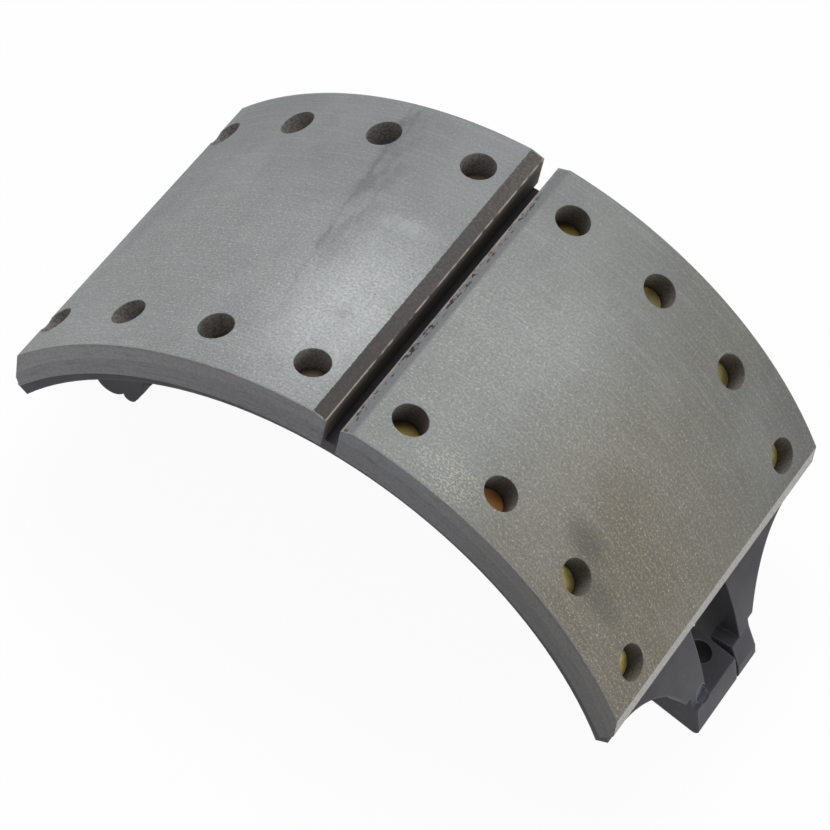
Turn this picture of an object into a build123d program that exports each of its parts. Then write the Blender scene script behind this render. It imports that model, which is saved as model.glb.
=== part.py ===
from math import cos, radians, sin, sqrt, tan
import os

from build123d import *

# A riveted drum brake shoe, seen as it sits in the upper half of its drum.
# X runs from the cam end to the anchor end, Y along the drum axis, Z up.
# The origin is on the anchor pin's axis at the middle of the lining's width.
# Side outlines are drawn from the drum axis, and angles are measured from the crown,
# positive to +X.

# Friction surface
drum_radius = 210.0
lining_width = 203.0
lining_thickness = 20.5
lining_gap = 8.2

# Ends of the cam-side block, as angles and depths under the drum radius
cam_bevel_angle = -53.8
cam_nose_angle = -57.5
cam_nose_depth = 10.0
cam_lining_angle = -58.4
cam_gap_bevel_width = 7.0
cam_gap_bevel_depth = 2.0

# Ends of the anchor-side block
anchor_bevel_angle = 55.8
anchor_nose_angle = 58.75
anchor_nose_depth = 6.0
anchor_lining_angle = 59.5
anchor_gap_bevel_width = 6.5
anchor_gap_bevel_depth = 3.0

# Table: a plate rolled about a centre below the drum axis, so the linings taper to their ends
table_drop = 12.0
table_thickness = 7.0
table_inset = 4.0
table_cam_angle = -60.2
table_anchor_angle = 61.6

# Webs under the table, both set a little to the far side, with the cast roots that join them
web_thickness = 12.4
web_gap = 36.0
web_offset = 2.0
web_depth = 40.5
web_root = 5.0
root_cam_angle = -57.0
root_anchor_angle = 71.0

# Anchor arms: rounded shoulders outside them, a window between them, a core at their foot
shoulder_radius = 60.0
shoulder_y = 28.5
window_angle = 57.5
arm_edge_rise = 23.0
arm_core_rise = 28.0
arm_core_setback = 3.0

# Cam-end feet: an open seat for the roller pin, a round nose and a small lug
cheek_step = 5.5
cheek_radius = 40.0
cam_seat_radius = 9.7
cam_seat_reach = 28.8
cam_seat_height = 46.0
cam_nose_radius = 9.7
cam_nose_reach = 9.2
cam_nose_height = 48.8
cam_lug_radius = 4.0
cam_lug_setback = 2.8
cam_lug_height = 44.9

# Anchor-end feet: blocks that stand proud of the table's circle, with a flat tilted land
# outside an open seat for the anchor pin
foot_rise = 2.6
foot_width = 59.0
foot_tilt = 12.8
foot_corner_height = 36.8
foot_round = 3.0
anchor_land = 33.0
anchor_seat_radius = 14.5

# Toe of the far foot: a straight face that leans back to the arm above it
toe_face = 9.7
toe_lean = 11.5
toe_thickness = 11.6

# Small round recess where the near arm meets its foot
recess_radius = 4.6
recess_depth = 2.2
recess_angle = 69.8
recess_y = -20.5

# Bridge plate in one with the near foot, slotted beside the far one
bridge_thickness = 17.2
bridge_depth = 38.0
bridge_far_edge = 9.6
bridge_slot = 2.6
bridge_hole_radius = 6.3
bridge_hole_inset = 24.9

# Return-spring pin holes through the webs near the cam end
spring_hole_radius = 6.0
spring_hole_angle = -50.0
spring_hole_edge = 20.0

# Rivets: two rows, pitched evenly about the table's centre
rivet_row_inset = 21.3
rivet_pitch_angle = 14.05
rivets_per_row = 8
rivet_hole_radius = 9.1
rivet_ledge = 5.0
rivet_shank_radius = 4.0
rivet_clearance = 0.15
rivet_head_radius = 8.0
rivet_head_height = 2.2
rivet_head_bevel = 0.6
rivet_bore_radius = 2.6
rivet_bore_depth = 9.0
rivet_clinch_radius = 6.2
rivet_clinch_height = 1.8
spot_face_radius = 8.0
spot_face_depth = 0.4

# One overrun that carries every cut past the surface it breaks
overrun = 20.0

# Sizes worked out from the ones above
table_radius = drum_radius - lining_thickness + table_drop
table_inner_radius = table_radius - table_thickness
table_width = lining_width - 2 * table_inset
web_inner_radius = drum_radius - lining_thickness - table_thickness - web_depth
web_inner_y = web_gap / 2
web_outer_y = web_inner_y + web_thickness
cam_seat_x = -web_inner_radius - cam_seat_reach
cam_nose_x = -web_inner_radius - cam_nose_reach
cam_lug_x = -web_inner_radius + cam_lug_setback
foot_radius = table_radius + foot_rise
foot_corner_x = sqrt(foot_radius**2 - (foot_corner_height + table_drop) ** 2)
tilt_slope = tan(radians(foot_tilt))
anchor_seat_x = foot_corner_x - anchor_land - anchor_seat_radius
anchor_seat_height = foot_corner_height + (anchor_land + anchor_seat_radius) * tilt_slope
bridge_x = foot_corner_x - bridge_depth
toe_height = foot_corner_height + toe_face
rivet_grip = rivet_ledge + table_thickness - spot_face_depth
rivet_start = drum_radius + table_drop
outer_reach = drum_radius + overrun


def polar(radius, angle):
    """Point of the side view at a radius from the drum axis."""
    return (radius * sin(radians(angle)), radius * cos(radians(angle)))


def on_circle(radius, angle):
    """Where a line from the drum axis meets a circle about the table's centre."""
    turn = radians(angle)
    reach = sqrt(radius**2 - (table_drop * sin(turn)) ** 2) - table_drop * cos(turn)
    return polar(reach, angle)


def height_on(radius, x, drop):
    """Height of a circle whose centre is a drop below the drum axis."""
    return sqrt(radius**2 - x**2) - drop


def front_on(radius, height):
    """The point at a height where a circle about the table's centre faces +X."""
    return (sqrt(radius**2 - (height + table_drop) ** 2), height)


def foot_height(x):
    """Height of the tilted underside of the anchor feet."""
    return foot_corner_height + (foot_corner_x - x) * tilt_slope


def placed(x, y, z):
    """A place given from the drum axis, as seen from the anchor pin's axis."""
    return (x - anchor_seat_x, y, z - anchor_seat_height)


def side_view(y=0):
    """Plane for side outlines drawn from the drum axis; it faces -Y."""
    return Plane(origin=placed(0, y, 0), x_dir=(1, 0, 0), z_dir=(0, -1, 0))


def radial_plane(angle, reach, y, drop):
    """Plane whose Z points away from a centre a drop below the drum axis."""
    turn = radians(angle)
    place = placed(reach * sin(turn), y, reach * cos(turn) - drop)
    return Plane(origin=place, x_dir=(cos(turn), 0, -sin(turn)), z_dir=(sin(turn), 0, cos(turn)))


# Rivet lines: an angle about the table's centre and a row
rivet_angles = [(i - (rivets_per_row - 1) / 2) * rivet_pitch_angle for i in range(rivets_per_row)]
rivet_row_y = table_width / 2 - rivet_row_inset
rivet_rows = {"near": -rivet_row_y, "far": rivet_row_y}


def rivet_planes(reach, angles=rivet_angles):
    """Planes across the rivet lines at one distance from the table's centre."""
    return [radial_plane(angle, reach, y, table_drop) for angle in angles for y in rivet_rows.values()]


def lining_block(side, bevel_width, bevel_depth, bevel_angle, nose_angle, nose_depth, end_angle):
    """One friction block between the drum circle and the table, side +1 or -1 of the crown."""
    gap_x = lining_gap / 2
    bevel_x = gap_x + bevel_width
    gap_foot = (side * gap_x, height_on(table_radius, gap_x, table_drop))
    gap_shoulder = (side * gap_x, height_on(drum_radius, gap_x, 0) - bevel_depth)
    gap_edge = (side * bevel_x, height_on(drum_radius, bevel_x, 0))
    end_edge = polar(drum_radius, bevel_angle)
    end_nose = polar(drum_radius - nose_depth, nose_angle)
    end_foot = on_circle(table_radius, end_angle)
    with BuildPart() as block:
        with BuildSketch(side_view()):
            with BuildLine():
                Polyline(gap_foot, gap_shoulder, gap_edge)
                ThreePointArc(gap_edge, polar(drum_radius, bevel_angle / 2), end_edge)
                Polyline(end_edge, end_nose, end_foot)
                ThreePointArc(end_foot, on_circle(table_radius, end_angle / 2), gap_foot)
            make_face()
        extrude(amount=lining_width / 2, both=True)
        with Locations(*rivet_planes(rivet_start, [a for a in rivet_angles if a * side > 0])):
            CounterBoreHole(
                radius=rivet_shank_radius + rivet_clearance,
                counter_bore_radius=rivet_hole_radius,
                counter_bore_depth=rivet_start - table_radius - rivet_ledge,
                depth=rivet_start - table_inner_radius,
            )
    return block


def above_feet():
    """Cut a web sketch off at the level of the cam feet and at the tilted anchor feet."""
    with BuildLine() as limit:
        Polyline(
            (-outer_reach, cam_lug_height),
            (-outer_reach, outer_reach),
            (outer_reach, outer_reach),
            (outer_reach, foot_height(outer_reach)),
            (0, foot_height(0)),
            (0, cam_lug_height),
            close=True,
        )
    make_face(limit.edges(), mode=Mode.INTERSECT)


def cam_foot_rounds():
    """Nose, lug and roller seat at the foot of a web or cheek."""
    with Locations((cam_nose_x, cam_nose_height)):
        Circle(cam_nose_radius)
    with Locations((cam_lug_x, cam_lug_height)):
        Circle(cam_lug_radius)
    with Locations((cam_seat_x, cam_seat_height)):
        Circle(cam_seat_radius, mode=Mode.SUBTRACT)


def above_land(inner_x, rise):
    """Cut a sketch down to a band of one rise above the tilted land, from an inner edge on."""
    outer_x = outer_reach
    with BuildLine() as limit:
        Polyline(
            (inner_x, foot_height(inner_x)),
            (outer_x, foot_height(outer_x)),
            (outer_x, foot_height(outer_x) + rise),
            (inner_x, foot_height(inner_x) + rise),
            close=True,
        )
    make_face(limit.edges(), mode=Mode.INTERSECT)


def rivet_form():
    """A tubular rivet on Z, its head seated at height 0 and its tail rolled over below."""
    tail = -rivet_grip - rivet_clinch_height
    bore_end = tail + rivet_bore_depth
    with BuildPart() as form:
        with BuildSketch(Plane.XZ):
            with BuildLine():
                Polyline(
                    (0, rivet_head_height),
                    (rivet_head_radius - rivet_head_bevel, rivet_head_height),
                    (rivet_head_radius, rivet_head_height - rivet_head_bevel),
                    (rivet_head_radius, 0),
                    (rivet_shank_radius, 0),
                    (rivet_shank_radius, -rivet_grip),
                    (rivet_clinch_radius, -rivet_grip),
                )
                TangentArc(
                    (rivet_clinch_radius, -rivet_grip),
                    (rivet_shank_radius, tail),
                    tangent=(0, -1),
                )
                Polyline(
                    (rivet_shank_radius, tail),
                    (rivet_bore_radius, -rivet_grip),
                    (rivet_bore_radius, bore_end),
                    (0, bore_end + rivet_bore_radius / 2),
                    (0, rivet_head_height),
                )
            make_face()
        revolve(axis=Axis.Z)
    return form.part


os.makedirs("parts", exist_ok=True)

# Shoe casting
with BuildPart() as shoe_casting:
    # Table, carried on past the anchor-side block as the skin of the two arms
    with BuildSketch(side_view()):
        with Locations((0, -table_drop)):
            Circle(table_radius)
            Circle(table_inner_radius, mode=Mode.SUBTRACT)
        with BuildLine():
            Polyline(
                (0, 0),
                polar(2 * outer_reach, table_cam_angle),
                (0, 2 * outer_reach),
                (outer_reach, outer_reach),
                (outer_reach, foot_height(outer_reach) + bridge_thickness),
                (0, foot_height(0) + bridge_thickness),
                close=True,
            )
        make_face(mode=Mode.INTERSECT)
    extrude(amount=table_width / 2, both=True)

    # Webs with their feet, and the cast roots that join them to the table
    for way in (-1, 1):
        with BuildSketch(side_view(web_offset + way * web_inner_y)):
            with Locations((0, -table_drop)):
                Circle(table_inner_radius)
            Circle(web_inner_radius, mode=Mode.SUBTRACT)
            above_feet()
            cam_foot_rounds()
        extrude(amount=-way * web_thickness)
    root_start = radial_plane(root_cam_angle, table_inner_radius, 0, table_drop)
    with BuildSketch(Plane(root_start.origin, x_dir=(0, 1, 0), z_dir=-root_start.x_dir)):
        for way in (-1, 1):
            for face, outward in ((web_inner_y, -way), (web_outer_y, way)):
                with Locations((web_offset + way * face + outward * web_root / 2, -web_root / 2)):
                    Rectangle(web_root, web_root)
                with Locations((web_offset + way * face + outward * web_root, -web_root)):
                    Circle(web_root, mode=Mode.SUBTRACT)
    table_axis = Axis(placed(0, 0, -table_drop), (0, 1, 0))
    revolve(axis=table_axis, revolution_arc=root_anchor_angle - root_cam_angle)

    # Thicker cheeks round the roller seat
    for way in (-1, 1):
        with BuildSketch(side_view(web_offset + way * web_outer_y)):
            with Locations((0, -table_drop)):
                Circle(table_inner_radius)
            Circle(web_inner_radius, mode=Mode.SUBTRACT)
            with Locations((cam_seat_x, cam_seat_height)):
                Circle(cheek_radius, mode=Mode.INTERSECT)
            above_feet()
            cam_foot_rounds()
        extrude(amount=-way * cheek_step)

    # Shoulders that narrow the table to the width of the arms
    shoulder_x, shoulder_height = on_circle(table_radius, table_anchor_angle)
    shoulder_plane = radial_plane(
        table_anchor_angle, sqrt(shoulder_x**2 + shoulder_height**2), 0, 0
    )
    with BuildSketch(shoulder_plane):
        with BuildLine():
            Line((0, table_width), (0, shoulder_y + shoulder_radius))
            RadiusArc(
                (0, shoulder_y + shoulder_radius),
                (shoulder_radius, shoulder_y),
                -shoulder_radius,
            )
            Polyline(
                (shoulder_radius, shoulder_y),
                (table_width, shoulder_y),
                (table_width, table_width),
                (0, table_width),
            )
        make_face()
        mirror(about=Plane.XZ)
    extrude(amount=table_width / 2, both=True, mode=Mode.SUBTRACT)

    # Window between the arms, as wide as the gap between the webs
    with BuildSketch(side_view(web_offset)):
        with BuildLine():
            Polyline(
                (0, 0),
                polar(2 * outer_reach, window_angle),
                (2 * outer_reach, 0),
                close=True,
            )
        make_face()
    extrude(amount=web_inner_y, both=True, mode=Mode.SUBTRACT)

    # Core that fills each arm behind the foot of its skin
    for way in (-1, 1):
        with BuildSketch(side_view(web_offset + way * web_inner_y)):
            with Locations((0, -table_drop)):
                Circle(table_radius - arm_core_setback)
            above_land(bridge_x, arm_core_rise)
        extrude(amount=-way * web_thickness)

    # Near foot and bridge plate
    with BuildSketch(side_view(-foot_width / 2)):
        with Locations((0, -table_drop)):
            Circle(foot_radius)
        above_land(bridge_x, bridge_thickness)
    extrude(amount=-foot_width / 2 - bridge_far_edge)

    # Far foot, its toe leaning back to the arm
    with BuildSketch(side_view(foot_width / 2)):
        with BuildLine():
            Polyline(
                (foot_corner_x, foot_corner_height),
                front_on(foot_radius, toe_height),
                front_on(table_radius, toe_height + toe_lean),
                (bridge_x, toe_height + toe_lean),
                (bridge_x, foot_height(bridge_x)),
                close=True,
            )
        make_face()
        with Locations((0, -table_drop)):
            Circle(table_radius - toe_thickness, mode=Mode.SUBTRACT)
    extrude(amount=foot_width / 2 - bridge_far_edge - bridge_slot)

    # Edges of the arms, cut back to the width of the feet below them
    for way in (-1, 1):
        with BuildSketch(side_view(way * foot_width / 2)):
            Rectangle(2 * outer_reach, 2 * outer_reach)
            above_land(bridge_x, arm_edge_rise)
        extrude(amount=-way * table_width, mode=Mode.SUBTRACT)

    # Recess at the foot of the near arm
    with Locations(radial_plane(recess_angle, table_radius - recess_depth, recess_y, table_drop)):
        Cylinder(
            recess_radius,
            overrun,
            align=(Align.CENTER, Align.CENTER, Align.MIN),
            mode=Mode.SUBTRACT,
        )

    # The anchor pin's half-round seat, through both feet and the plate between them
    with BuildSketch(side_view()):
        with Locations((anchor_seat_x, anchor_seat_height)):
            Circle(anchor_seat_radius)
    extrude(amount=table_width / 2, both=True, mode=Mode.SUBTRACT)

    # Round the lower corner and the upright edges of both anchor feet
    front_edges = shoe_casting.edges().filter_by(Axis.Y).group_by(Axis.X)[-1]
    fillet(front_edges, foot_round)

    # Hole through the bridge plate, square to its faces
    hole_x = foot_corner_x - bridge_hole_inset
    hole_plane = Plane(
        origin=placed(hole_x, 0, foot_height(hole_x)),
        z_dir=(sin(radians(foot_tilt)), 0, cos(radians(foot_tilt))),
    )
    with Locations(hole_plane):
        Hole(bridge_hole_radius, depth=bridge_thickness + overrun)

    # Spring-pin holes through both webs
    spring_x, spring_z = polar(web_inner_radius + spring_hole_edge, spring_hole_angle)
    with Locations(Plane(origin=placed(spring_x, 0, spring_z), z_dir=(0, -1, 0))):
        Hole(spring_hole_radius)

    # Rivet holes, with a flat for each rolled tail
    with Locations(*rivet_planes(table_inner_radius + spot_face_depth)):
        Hole(rivet_shank_radius + rivet_clearance, depth=overrun)
        Cylinder(
            spot_face_radius,
            overrun,
            align=(Align.CENTER, Align.CENTER, Align.MAX),
            mode=Mode.SUBTRACT,
        )
shoe_casting.part.label = "shoe_casting"
export_step(shoe_casting.part, "parts/shoe_casting.step")

# Cam-end lining
cam_lining = lining_block(
    -1,
    cam_gap_bevel_width,
    cam_gap_bevel_depth,
    cam_bevel_angle,
    cam_nose_angle,
    cam_nose_depth,
    cam_lining_angle,
)
cam_lining.part.label = "cam_end_lining"
export_step(cam_lining.part, "parts/cam_end_lining.step")

# Anchor-end lining
anchor_lining = lining_block(
    1,
    anchor_gap_bevel_width,
    anchor_gap_bevel_depth,
    anchor_bevel_angle,
    anchor_nose_angle,
    anchor_nose_depth,
    anchor_lining_angle,
)
anchor_lining.part.label = "anchor_end_lining"
export_step(anchor_lining.part, "parts/anchor_end_lining.step")

# Rivets, numbered in each row from the cam end
form = rivet_form()
for row, y in rivet_rows.items():
    for i, angle in enumerate(rivet_angles):
        seat = radial_plane(angle, table_radius + rivet_ledge, y, table_drop)
        with BuildPart() as rivet:
            add(seat.location * form)
        name = f"rivet_{row}_{i + 1}"
        rivet.part.label = name
        export_step(rivet.part, f"parts/{name}.step")
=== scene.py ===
from math import radians
from types import SimpleNamespace

import bpy
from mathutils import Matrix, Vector


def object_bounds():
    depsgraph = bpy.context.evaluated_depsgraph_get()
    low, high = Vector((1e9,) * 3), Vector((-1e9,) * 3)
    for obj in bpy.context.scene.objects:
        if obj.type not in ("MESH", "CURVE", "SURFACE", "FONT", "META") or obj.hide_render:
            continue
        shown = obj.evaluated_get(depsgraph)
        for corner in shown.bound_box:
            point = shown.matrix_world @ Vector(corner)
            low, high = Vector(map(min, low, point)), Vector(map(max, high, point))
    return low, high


# A riveted drum brake shoe. The CAD nodes hold its whole shape. This script gives each node the
# finish of its real material, and adds the floor, the lamps and the camera of the photograph.

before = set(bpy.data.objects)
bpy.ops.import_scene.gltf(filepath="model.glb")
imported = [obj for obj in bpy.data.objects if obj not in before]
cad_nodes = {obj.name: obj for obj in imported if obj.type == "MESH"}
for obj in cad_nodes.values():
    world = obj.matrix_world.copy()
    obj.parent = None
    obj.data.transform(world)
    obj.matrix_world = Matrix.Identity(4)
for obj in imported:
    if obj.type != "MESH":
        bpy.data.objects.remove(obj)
cad_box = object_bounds()

# Sizes in metres. Places are given from the brake drum's axis, midway across the shoe, and
# angles in degrees from the crown, positive towards the anchor end. A fade is where a mask
# starts and where it is full.
drum_axis = Vector((-0.150680, 0, -0.047592))
drum_radius = 0.210
half_width = 0.1015
gap_half = 0.0041
cam_bevel_width = 0.0070
anchor_bevel_fade = (0.0076, 0.0050)
cut_strip_fade = (55.75, 55.95)
any_depth = 1

white = (1, 1, 1, 1)
# A grey for the linings' painted shade and for their stains
painted_shade_and_stain_grey = "#4c4c4e"
stain_shade = "#50514e"


def linear(colour):
    """An sRGB hex colour as the linear values that a shader takes."""
    channels = [int(colour[place:place + 2], 16) / 255 for place in (1, 3, 5)]
    return tuple(
        channel / 12.92 if channel <= 0.04045 else ((channel + 0.055) / 1.055) ** 2.4
        for channel in channels
    ) + (1,)


def put(tree, kind, inputs=None, **settings):
    """Adds a node; an input is a value, another node, or one of its outputs."""
    made = tree.nodes.new(kind)
    for name, value in settings.items():
        setattr(made, name, value)
    for socket, value in (inputs or {}).items():
        if isinstance(value, bpy.types.Node):
            value = value.outputs[0]
        if isinstance(value, bpy.types.NodeSocket):
            tree.links.new(value, made.inputs[socket])
        else:
            made.inputs[socket].default_value = value
    return made


def where(tree, *bands, most=1):
    """A mask from 0 to most. Each band is a value, where its mask starts and where it is full."""
    mask = most
    for value, start, full in bands:
        eased = put(
            tree,
            "ShaderNodeMapRange",
            {0: value, 1: start, 2: full},
            interpolation_type="SMOOTHSTEP",
        )
        mask = put(tree, "ShaderNodeMath", {0: eased, 1: mask}, operation="MULTIPLY")
    return mask


def lumps(tree, place, size, detail=2):
    """A soft field whose lumps are as long, wide and deep as size says, around 0.5."""
    grown = put(
        tree,
        "ShaderNodeVectorMath",
        {0: place, 1: [1 / side for side in size]},
        operation="MULTIPLY",
    )
    return put(
        tree,
        "ShaderNodeTexNoise",
        {"Vector": grown, "Scale": 1, "Detail": detail, "Roughness": 0.6},
    )


def distance(tree, place, centre, reach):
    """How far a point is from a centre, as a share of the reach along each axis."""
    offset = put(tree, "ShaderNodeVectorMath", {0: place, 1: centre}, operation="SUBTRACT")
    grown = put(
        tree,
        "ShaderNodeVectorMath",
        {0: offset, 1: [1 / side for side in reach]},
        operation="MULTIPLY",
    )
    return put(tree, "ShaderNodeVectorMath", {0: grown}, operation="LENGTH").outputs[1]


def spot(tree, unrolled, middle, reach):
    """How far a point of a rubbing face is from a spot's middle, along and across the face."""
    return distance(tree, unrolled, (*middle, drum_radius), (*reach, any_depth))


def coats(tree, colour, *layers):
    """Colours laid over the first, each as far as its share says."""
    for amount, over in layers:
        mix = put(
            tree,
            "ShaderNodeMix",
            {0: amount, 6: colour, 7: linear(over) if isinstance(over, str) else over},
            data_type="RGBA",
        )
        colour = mix.outputs[2]
    return colour


def start_material(name, roughness):
    """A new material, its shader, and each point's place from the drum's axis."""
    material = bpy.data.materials.new(name)
    material.use_nodes = True
    tree = material.node_tree
    shader = tree.nodes["Principled BSDF"]
    shader.inputs["Roughness"].default_value = roughness
    here = put(tree, "ShaderNodeTexCoord").outputs["Object"]
    place = put(tree, "ShaderNodeVectorMath", {0: here, 1: drum_axis}, operation="SUBTRACT")
    return material, tree, shader, place


def relief(tree, shader, height, depth, round_edge):
    """Small bumps of one depth on a surface whose sharp edges look slightly broken."""
    edge = put(tree, "ShaderNodeBevel", {"Radius": round_edge}, samples=4)
    bump = put(
        tree,
        "ShaderNodeBump",
        {"Height": height, "Strength": 1, "Distance": depth, "Normal": edge},
    )
    tree.links.new(bump.outputs[0], shader.inputs["Normal"])


def finish_node(node, material):
    """Puts a material in a CAD node's slots; its mesh stays as it is."""
    for slot in cad_nodes[node].material_slots:
        slot.material = material


def lining_fields(tree, place):
    """The places and patterns on a lining that its colours are laid by."""
    axes = put(tree, "ShaderNodeSeparateXYZ", {0: place}).outputs
    width = axes[1]
    turn = put(tree, "ShaderNodeMath", {0: axes[0], 1: axes[2]}, operation="ARCTAN2")
    angle = put(tree, "ShaderNodeMath", {0: turn}, operation="DEGREES")
    along = put(tree, "ShaderNodeMath", {0: turn, 1: drum_radius}, operation="MULTIPLY")
    across = put(tree, "ShaderNodeMath", {0: width}, operation="ABSOLUTE")
    flat = put(tree, "ShaderNodeVectorMath", {0: place, 1: (1, 0, 1)}, operation="MULTIPLY")
    radius = put(tree, "ShaderNodeVectorMath", {0: flat}, operation="LENGTH").outputs[1]
    unrolled = put(tree, "ShaderNodeCombineXYZ", {0: along, 1: width, 2: radius})

    # The broken edges wander by about half a millimetre.
    wander = lumps(tree, unrolled, (0.0011, 0.0011, 0.0011))
    wander = put(tree, "ShaderNodeMath", {0: wander, 1: 0.0012}, operation="MULTIPLY")
    ragged = put(tree, "ShaderNodeMath", {0: along, 1: wander}, operation="ADD")
    frayed = put(tree, "ShaderNodeMath", {0: across, 1: wander}, operation="ADD")

    return SimpleNamespace(
        width=width,
        angle=angle,
        along=along,
        radius=radius,
        unrolled=unrolled,
        ragged=ragged,
        on_face=where(tree, (radius, drum_radius - 0.0007, drum_radius - 0.0002)),
        on_side=where(tree, (frayed, half_width - 0.0005, half_width - 0.0001)),
        # Grit of 1.2 to 1.6 mm, coarser than the real compound so that it shows
        fine=lumps(tree, unrolled, (0.0012, 0.0012, 0.0012), detail=1),
        coarse=lumps(tree, unrolled, (0.0016, 0.0014, 0.0014)),
    )


# Friction linings: moulded blocks of resin, mineral fibre and metal chips, dry and matt.
# Their rubbing faces are turned on a lathe, which leaves faint streaks round the drum.
# The drilled walls and the sides are darker and browner.
def lining_material(
    name,
    face,
    face_end,
    face_end_near,
    end_from,
    end_to,
    dust_middle,
    dust_reach,
    dustiness,
    drilled_wall,
    side,
    side_end,
    edge_layers,
):
    """A lining whose face and side change colour towards its end, with dust on one area."""
    material, tree, shader, place = start_material(name, 0.8)
    at = lining_fields(tree, place)
    to_end = where(tree, (at.angle, end_from, end_to))
    to_near_end = where(tree, (at.angle, end_from + 4, end_to + 6), (at.width, 0.07, -0.05))
    dust = spot(tree, at.unrolled, dust_middle, dust_reach)
    clouds = lumps(tree, at.unrolled, (0.05, 0.07, 0.05))
    stains = lumps(tree, at.unrolled, (0.014, 0.03, 0.02))
    streaks = lumps(tree, at.unrolled, (0.03, 0.0009, 0.02))
    specks = lumps(tree, at.unrolled, (0.0013, 0.0011, 0.0012), detail=1)
    near = where(tree, (at.width, 0.09, -0.06))

    ground = coats(
        tree,
        linear(face),
        (to_end, face_end),
        (to_near_end, face_end_near),
        # Painted shade: darker towards the far edge, most of all at the anchor end's far corner
        (where(tree, (at.width, -0.03, 0.10), most=0.26), painted_shade_and_stain_grey),
        (where(tree, (at.width, 0.00, 0.09), (at.angle, 30, 50), most=0.26), painted_shade_and_stain_grey),
        (where(tree, (at.width, 0.066, 0.096), (at.angle, 36, 48), most=0.45), painted_shade_and_stain_grey),
        # Pale clouds, then dust caught between the stains, then the stains themselves
        (where(tree, (clouds, 0.40, 0.65), most=0.06), "#d8dcdc"),
        (
            where(
                tree,
                (dust, 1, 0),
                (at.coarse, 0.0, 0.7),
                (stains, 0.0, 0.6),
                most=dustiness,
            ),
            "#dfe3e4",
        ),
        (where(tree, (stains, 0.50, 0.75), most=0.10), painted_shade_and_stain_grey),
        # Turning streaks, dark and pale grit, pale fibre ends and small pits
        (where(tree, (streaks, 0.50, 0.70), most=0.07), "#e4e8e8"),
        (where(tree, (at.fine, 0.42, 0.62), (near, -1, 1), most=0.18), "#3c3b39"),
        (where(tree, (at.coarse, 0.50, 0.72), (near, -0.8, 1), most=0.16), "#e6e4d8"),
        (where(tree, (specks, 0.63, 0.72), (near, -0.6, 1), most=0.40), "#dfddd0"),
        (where(tree, (specks, 0.33, 0.27), most=0.35), "#4a4843"),
    )

    layers = lumps(tree, at.unrolled, (0.06, 0.05, 0.0016))
    blotch = lumps(tree, at.unrolled, (0.014, 0.01, 0.004))
    flank = coats(
        tree,
        linear(side),
        (to_end, side_end),
        # A darker lower half, thin pressed layers, brown blotches and grit
        (
            where(tree, (at.radius, drum_radius - 0.0075, drum_radius - 0.0090), most=0.22),
            "#55525a",
        ),
        (where(tree, (layers, 0.45, 0.70), most=0.14), "#3a3633"),
        (where(tree, (blotch, 0.55, 0.75), most=0.30), "#5c524c"),
        (where(tree, (at.fine, 0.42, 0.62), most=0.15), "#2e2c2a"),
    )
    drilled = coats(
        tree, linear(drilled_wall), (where(tree, (at.fine, 0.42, 0.62), most=0.5), "#4a4542")
    )

    colour = coats(tree, drilled, (at.on_face, ground), (at.on_side, flank))
    colour = edge_layers(tree, colour, at)
    tree.links.new(colour, shader.inputs["Base Color"])
    relief(tree, shader, at.fine, depth=0.00010, round_edge=0.0008)
    return material


def cam_side_edges(tree, colour, at):
    """A rough brown bevel along the gap with a thin pale line at its lower edge, and a smudge
    that ends in a thin slanted seam across the block."""
    faces = (at.on_face, 0, 1)
    off_sides = (at.on_side, 1, 0)
    lip = -gap_half - cam_bevel_width
    rust = lumps(tree, at.unrolled, (0.003, 0.006, 0.003))
    line = lumps(tree, at.unrolled, (0.004, 0.008, 0.02))
    bevel = coats(
        tree,
        linear("#545150"),
        (where(tree, (at.fine, 0.40, 0.60), most=0.6), "#413e3d"),
        (where(tree, (at.coarse, 0.55, 0.70), most=0.4), "#6a6562"),
        (where(tree, (rust, 0.60, 0.72), most=0.5), "#654d40"),
        # Olive grit at its far end, darker at its near one
        (where(tree, (at.width, 0.04, 0.09), (at.coarse, 0.4, 0.6), most=0.6), "#6b6557"),
        (where(tree, (at.width, 0.00, -0.07), most=0.35), "#35322f"),
        # The pale line, in broken lengths, and the gap's wall below it
        (where(tree, (at.along, -0.0050, -0.0045), (line, 0.35, 0.60), most=0.8), "#b3aaa0"),
        (where(tree, (at.radius, drum_radius - 0.0023, drum_radius - 0.0032)), "#66605a"),
    )

    # The seam wanders by a few millimetres and slants by 11 mm in every 100 of width.
    winding = lumps(tree, at.unrolled, (0.012, 0.012, 0.02), detail=4)
    winding = put(
        tree, "ShaderNodeMath", {0: winding, 1: 0.008, 2: at.along}, operation="MULTIPLY_ADD"
    )
    slanted = put(
        tree, "ShaderNodeMath", {0: at.width, 1: 0.11, 2: winding}, operation="MULTIPLY_ADD"
    )
    smudge = lumps(tree, at.unrolled, (0.010, 0.024, 0.02))
    broken = lumps(tree, at.unrolled, (0.004, 0.010, 0.02))
    seam = (
        (slanted, -0.0648, -0.0640),
        (slanted, -0.0618, -0.0632),
        (broken, 0.35, 0.55),
        (at.width, -0.10, 0.00),
    )
    halo = (
        (slanted, -0.068, -0.062),
        (slanted, -0.040, -0.058),
        (smudge, 0.38, 0.60),
        (at.width, -0.06, 0.04),
    )
    bruise = spot(tree, at.unrolled, (-0.188, 0.004), (0.014, 0.045))
    rubbed = spot(tree, at.unrolled, (-0.036, 0.023), (0.026, 0.009))
    return coats(
        tree,
        colour,
        (where(tree, *seam, faces, most=0.20), "#3f4248"),
        (where(tree, *halo, faces, most=0.34), "#45454d"),
        (where(tree, (bruise, 1, 0), (smudge, 0.3, 0.6), faces, most=0.30), "#4a5060"),
        (where(tree, (rubbed, 1, 0), (broken, 0.2, 0.7), faces, most=0.20), "#dfe3e8"),
        (where(tree, (at.ragged, lip - 0.0001, lip + 0.0001), off_sides), bevel),
    )


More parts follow.
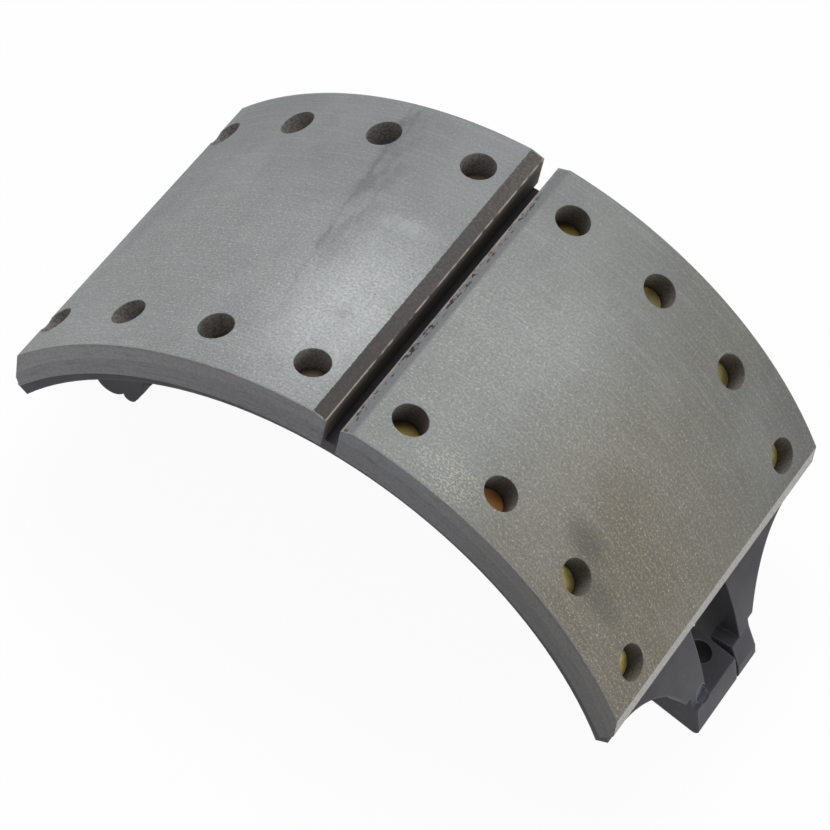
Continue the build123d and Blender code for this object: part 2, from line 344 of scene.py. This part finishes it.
def anchor_side_edges(tree, colour, at):
    """A worn grey bevel along the gap with a chipped raw edge, brassy flecks towards the
    anchor end, a dark stain, and a pale cut strip at that end, partly a painted highlight."""
    faces = (at.on_face, 0, 1)
    off_sides = (at.on_side, 1, 0)
    raw = lumps(tree, at.unrolled, (0.003, 0.006, 0.02))
    chips = lumps(tree, at.unrolled, (0.0016, 0.0040, 0.02))
    brown = lumps(tree, at.unrolled, (0.0030, 0.0042, 0.02))
    chipped = (
        (at.along, 0.0082, 0.0068),
        (at.along, 0.0046, 0.0052),
        (chips, 0.54, 0.58),
        (at.width, 0.085, 0.070),
    )
    rusty = ((at.along, 0.0090, 0.0074), (at.width, -0.03, 0.02), (brown, 0.62, 0.68))
    bevel = coats(
        tree,
        linear("#787b7c"),
        (where(tree, (at.coarse, 0.48, 0.66), most=0.5), "#67676c"),
        (where(tree, (at.ragged, 0.0062, 0.0054), (raw, 0.35, 0.55), most=0.7), "#a3958f"),
        (where(tree, *chipped), "#2f2927"),
        (where(tree, *rusty, most=0.8), "#7d5f50"),
        # The gap's wall below the bevel
        (where(tree, (at.radius, drum_radius - 0.0031, drum_radius - 0.0040)), "#7a746e"),
    )
    # The cut strip's pale colour is partly its raw cut material and partly a painted highlight.
    cut_strip_and_highlight = coats(tree, linear("#b5b4b0"), (where(tree, (at.fine, 0.42, 0.62)), "#9b9893"))

    gold = lumps(tree, at.unrolled, (0.0015, 0.0012, 0.0012), detail=1)
    stain = spot(tree, at.unrolled, (0.129, -0.059), (0.020, 0.013))
    trail = spot(tree, at.unrolled, (0.152, -0.073), (0.027, 0.012))
    shower = spot(tree, at.unrolled, (0.056, -0.088), (0.030, 0.020))
    bevel_start, bevel_full = anchor_bevel_fade
    return coats(
        tree,
        colour,
        (where(tree, (stain, 1, 0.2), faces, most=0.54), stain_shade),
        (where(tree, (trail, 1, 0.2), faces, most=0.48), stain_shade),
        (where(tree, (gold, 0.52, 0.62), (shower, 1, 0.2), faces, most=0.5), "#cfccba"),
        (where(tree, (gold, 0.60, 0.70), (at.angle, 2, 40), faces, most=0.42), "#b3a470"),
        (
            where(tree, (at.along, gap_half + bevel_start, gap_half + bevel_full), off_sides),
            bevel,
        ),
        (where(tree, (at.angle, *cut_strip_fade), off_sides), cut_strip_and_highlight),
    )


grey_lining = lining_material(
    "turned_friction_lining_grey",
    face="#8f9393",
    face_end="#8c9090",
    face_end_near="#8c9090",
    end_from=-10,
    end_to=-50,
    dust_middle=(-0.031, -0.040),
    dust_reach=(0.050, 0.086),
    dustiness=0.60,
    drilled_wall="#a09b98",
    side="#8f8e90",
    side_end="#9a999b",
    edge_layers=cam_side_edges,
)
olive_lining = lining_material(
    "turned_friction_lining_olive",
    face="#8a8d8b",
    face_end="#7f807a",
    face_end_near="#767064",
    end_from=8,
    end_to=36,
    dust_middle=(0.050, 0.000),
    dust_reach=(0.085, 0.120),
    dustiness=0.19,
    drilled_wall="#746e69",
    side="#8b8c90",
    side_end="#7c7b7a",
    edge_layers=anchor_side_edges,
)

# Iron casting in a thin satin black dip paint: fine sand texture, with edges painted lighter,
# partly where the paint has drawn back and partly as a painted highlight.
casting_paint, tree, shader, place = start_material("dip_painted_cast_iron", 0.5)
shader.inputs["Specular IOR Level"].default_value = 0.25
sand = lumps(tree, place, (0.0014, 0.0014, 0.0014), detail=3)
swirls = lumps(tree, place, (0.03, 0.03, 0.03))
dust = lumps(tree, place, (0.004, 0.004, 0.004))
edge = put(tree, "ShaderNodeBevel", {"Radius": 0.0016}, samples=4)
facing = put(tree, "ShaderNodeNewGeometry").outputs["Normal"]
turned = put(
    tree, "ShaderNodeVectorMath", {0: edge, 1: facing}, operation="DOT_PRODUCT"
).outputs[1]
# Painted shade: the bore of the hook hole, which no light reaches, is painted near black.
bore = distance(tree, place, (0.175138, 0, 0.050635), (0.0104, 0.0104, 0.0104))
painted_bore_shade = where(tree, (bore, 1.0, 0.97))
# The small round recess at the near foot has caught pale dust.
recess = distance(tree, place, (0.1880, -0.0205, 0.0572), (0.0055, 0.0055, 0.0055))
paint = coats(
    tree,
    linear("#403f44"),
    (where(tree, (swirls, 0.35, 0.65)), "#4b4a4f"),
    (where(tree, (dust, 0.62, 0.75), most=0.3), "#5f5e62"),
    # Edges painted lighter: worn paint and painted highlight
    (where(tree, (turned, 0.985, 0.90), most=0.55), "#77767c"),
    (where(tree, (recess, 1.0, 0.95)), "#74767e"),
    # Painted shade inside the bore
    (painted_bore_shade, "#1c1c20"),
)
tree.links.new(paint, shader.inputs["Base Color"])
# The bore is also rougher than the paint, so that it mirrors no light from below.
roughness = put(tree, "ShaderNodeMath", {0: painted_bore_shade, 1: 0.25, 2: 0.5}, operation="MULTIPLY_ADD")
tree.links.new(roughness.outputs[0], shader.inputs["Roughness"])
relief(tree, shader, sand, depth=0.00008, round_edge=0.0012)

# Tubular rivets of soft brass, pressed in a die and dulled. From the cam end to the anchor end
# they go from brown through olive, and orange on the near one of the sixth pair, to gold. These
# colours are partly the brass's own tint and partly painted light and shade for each head down in
# its hole.
rivet_brass, tree, shader, place = start_material("pressed_dull_brass", 0.45)
shader.inputs["Metallic"].default_value = 1
axes = put(tree, "ShaderNodeSeparateXYZ", {0: place}).outputs
length, width = axes[0], axes[1]
tint = lumps(tree, place, (0.006, 0.006, 0.006))
sixth_near = ((length, 0.050, 0.060), (length, 0.100, 0.090), (width, 0, -0.02))
colour = coats(
    tree,
    linear("#cfc272"),
    (where(tree, (tint, 0.35, 0.60)), "#e8dc9a"),
    # Darker cam-end heads and an orange sixth near head: partly tint, partly painted light and
    # shade
    (where(tree, (length, 0.055, 0.045), most=0.9), "#75622f"),
    (where(tree, *sixth_near), "#dfa066"),
    (where(tree, (length, 0.005, -0.005)), "#6e6254"),
)
tree.links.new(colour, shader.inputs["Base Color"])
relief(tree, shader, tint, depth=0.00008, round_edge=0.0004)

finishes = {
    "shoe_casting": casting_paint,
    "cam_end_lining": grey_lining,
    "anchor_end_lining": olive_lining,
}
for node in cad_nodes:
    finish_node(node, finishes.get(node, rivet_brass))

# Plain pale floor a hair under the feet. It shows white to the camera and in reflections, and
# keeps a soft shadow.
floor_gap = 0.0002
floor_white_share = 0.95
bpy.ops.object.select_all(action="DESELECT")
bpy.ops.mesh.primitive_plane_add(size=8, location=(0, 0, cad_box[0][2] - floor_gap))
floor = bpy.context.object
floor.name = "studio_floor"
floor_white = bpy.data.materials.new("matt_white_floor")
floor_white.use_nodes = True
tree = floor_white.node_tree
shader = tree.nodes["Principled BSDF"]
shader.inputs["Base Color"].default_value = linear("#f2f2f2")
shader.inputs["Roughness"].default_value = 0.9
glow = put(tree, "ShaderNodeEmission", {0: white, 1: 1.0})
ray = put(tree, "ShaderNodeLightPath").outputs
seen = ray["Is Camera Ray"]
for kind in ("Is Glossy Ray", "Is Transmission Ray"):
    seen = put(tree, "ShaderNodeMath", {0: seen, 1: ray[kind]}, operation="MAXIMUM")
held = put(tree, "ShaderNodeMath", {0: seen, 1: floor_white_share}, operation="MULTIPLY")
mixed = put(tree, "ShaderNodeMixShader", {0: held, 1: shader, 2: glow})
tree.links.new(mixed.outputs[0], tree.nodes["Material Output"].inputs[0])
floor.data.materials.append(floor_white)

world_strength = 0.29
world = bpy.data.worlds.new("studio")
bpy.context.scene.world = world
world.use_nodes = True
background = world.node_tree.nodes["Background"]
background.inputs[0].default_value = white
background.inputs[1].default_value = world_strength


def softbox(name, place, target, size, power):
    """A square lamp at place, turned to shine on target, both from the drum's axis."""
    bpy.ops.object.light_add(type="AREA", location=drum_axis + Vector(place))
    lamp = bpy.context.object
    lamp.name = name
    lamp.data.size = size
    lamp.data.energy = power
    aim = Vector(target) - Vector(place)
    lamp.rotation_euler = aim.to_track_quat("-Z", "Y").to_euler()


softbox("key_softbox", place=(-0.7, 0.5, 2.0), target=(0, 0, 0.15), size=1.4, power=31)
softbox("fill_softbox", place=(1.7, 0.0, 0.65), target=(0, 0, 0.10), size=1.4, power=12)

# The photograph was taken from above and to the front right, with a long lens and a slight roll.
bpy.ops.object.camera_add(
    location=drum_axis + Vector((0.446307, -1.214957, 1.776919)),
    rotation=(radians(36.9408), radians(-8.6743), radians(31.4877)),
)
camera = bpy.context.object
camera.name = "photo_camera"
camera.data.sensor_width = 36
camera.data.lens = 185.24
camera.data.clip_end = 20
bpy.context.scene.camera = camera
bpy.context.scene.view_settings.view_transform = "Standard"
